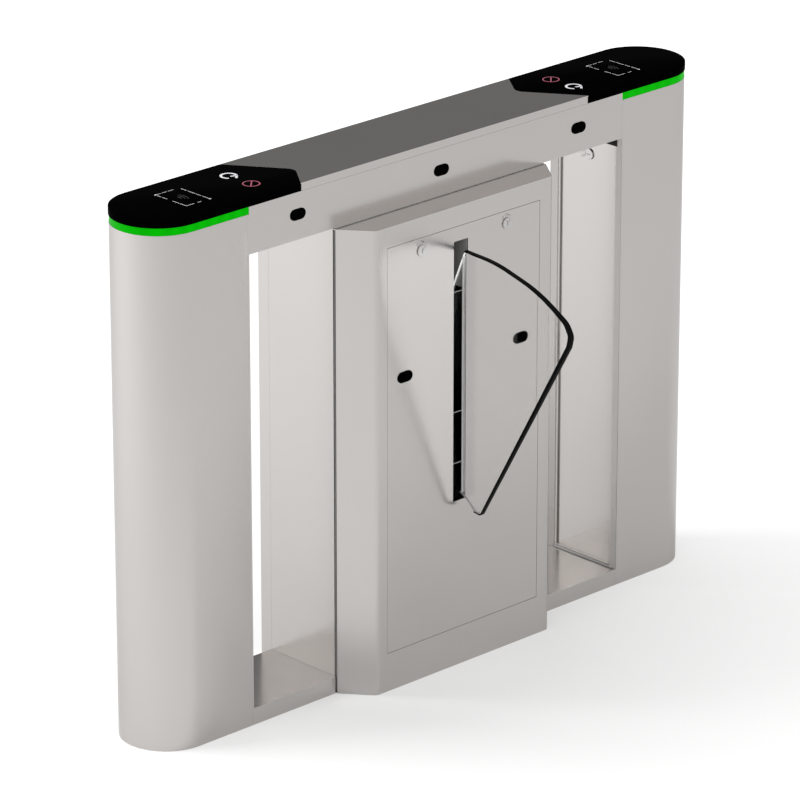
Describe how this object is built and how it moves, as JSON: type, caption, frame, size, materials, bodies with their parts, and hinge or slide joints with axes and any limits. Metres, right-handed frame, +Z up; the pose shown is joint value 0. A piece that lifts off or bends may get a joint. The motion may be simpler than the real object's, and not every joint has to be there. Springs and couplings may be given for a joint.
{
  "type": "flap barrier pedestal",
  "caption": "Floor-standing flap barrier pedestal: round-ended steel towers, a lidded beam and a chamfered housing whose slot passes a clear retracting wing.",
  "frame": {"origin": "centre of the base plate's underside, on the floor", "axes": "+X along the passage from the near tower to the far tower, -Y out of the door where the wing comes out, +Z up"},
  "size_m": [1.4, 0.5758, 1.02],
  "materials": {
    "steel": "hairline, satin",
    "black_gloss": "polished",
    "sensor_window": "polished",
    "green_light": "diffuser",
    "clear_acrylic": "clear",
    "edge_rubber": "matt",
    "base_paint": "matt black",
    "arm_paint": "satin black",
    "zinc": "zinc plated",
    "gear_steel": "machined",
    "cast_alloy": "cast",
    "board_green": "matt",
    "dark_plastic": "matt",
    "lock_chrome": "polished"
  },
  "bodies": {
    "pedestal": {"base_plate": "base_paint", "sill_left_front": "steel", "sill_left_rear": "steel", "sill_right_front": "steel", "sill_right_rear": "steel", "tower_near_shell": "steel", "tower_far_shell": "steel", "beam_channel": "steel", "beam_hinge_left": "zinc", "beam_hinge_right": "zinc", "cap_near": "black_gloss", "cap_far": "black_gloss", "light_strip_near": "green_light", "light_strip_far": "green_light", "card_reader_near": "dark_plastic", "card_reader_far": "dark_plastic", "indicator_near": "dark_plastic", "indicator_far": "dark_plastic", "housing_side_left": "steel", "housing_side_right": "steel", "front_cover": "steel", "rear_cover": "steel", "front_door": "steel", "beam_sensor_left": "sensor_window", "beam_sensor_middle": "sensor_window", "beam_sensor_right": "sensor_window", "door_sensor_left": "sensor_window", "door_sensor_right": "sensor_window", "gearmotor": "cast_alloy", "bearing_left": "cast_alloy", "bearing_right": "cast_alloy", "cheek_left": "zinc", "cheek_right": "zinc", "stop_rest": "edge_rubber", "stop_retract": "edge_rubber", "control_board": "board_green", "power_supply": "zinc"},
    "wing": {"wing_panel": "clear_acrylic", "wing_rubber": "edge_rubber", "wing_arm_left": "arm_paint", "wing_arm_right": "arm_paint", "wing_shaft": "gear_steel", "sector_gear": "gear_steel"},
    "drive_pinion": {"pinion": "gear_steel"},
    "top_lid": {"lid": "steel", "lid_hinge_leaf_left": "zinc", "lid_hinge_leaf_right": "zinc"},
    "near_panel": {"tower_near_panel": "steel"},
    "far_panel": {"tower_far_panel": "steel"},
    "near_panel_lock": {"tower_near_lock": "lock_chrome"},
    "far_panel_lock": {"tower_far_lock": "lock_chrome"},
    "left_door_lock": {"door_lock_left": "lock_chrome"},
    "right_door_lock": {"door_lock_right": "lock_chrome"}
  },
  "joints": [
    {"name": "wing_swing", "type": "hinge", "parent": "pedestal", "child": "wing", "pos_m": [0.003, -0.1, 0.25], "axis": [-1, 0, 0], "range_deg": [0, 30]},
    {"name": "pinion_turn", "type": "hinge", "parent": "pedestal", "child": "drive_pinion", "pos_m": [0.082, 0.05, 0.25], "axis": [1, 0, 0], "range_deg": [0, 120]},
    {"name": "lid_hinge", "type": "hinge", "parent": "pedestal", "child": "top_lid", "pos_m": [0, 0.0941, 1.005], "axis": [-1, 0, 0], "range_deg": [0, 80]},
    {"name": "near_panel_tilt", "type": "hinge", "parent": "pedestal", "child": "near_panel", "pos_m": [-0.48, 0, 0.0403], "axis": [0, 1, 0], "range_deg": [0, 12]},
    {"name": "far_panel_tilt", "type": "hinge", "parent": "pedestal", "child": "far_panel", "pos_m": [0.48, 0, 0.0403], "axis": [0, -1, 0], "range_deg": [0, 12]},
    {"name": "near_panel_lock_turn", "type": "hinge", "parent": "near_panel", "child": "near_panel_lock", "pos_m": [-0.48, 0, 0.8614], "axis": [-1, 0, 0], "range_deg": [0, 90]},
    {"name": "far_panel_lock_turn", "type": "hinge", "parent": "far_panel", "child": "far_panel_lock", "pos_m": [0.48, 0, 0.8614], "axis": [1, 0, 0], "range_deg": [0, 90]},
    {"name": "left_door_lock_turn", "type": "hinge", "parent": "pedestal", "child": "left_door_lock", "pos_m": [-0.109, -0.15, 0.849], "axis": [0, -1, 0], "range_deg": [0, 90]},
    {"name": "right_door_lock_turn", "type": "hinge", "parent": "pedestal", "child": "right_door_lock", "pos_m": [0.109, -0.15, 0.849], "axis": [0, 1, 0], "range_deg": [0, 90]}
  ],
  "couplings": [
    {"joint": "pinion_turn", "follows": "wing_swing", "ratio": 4}
  ]
}
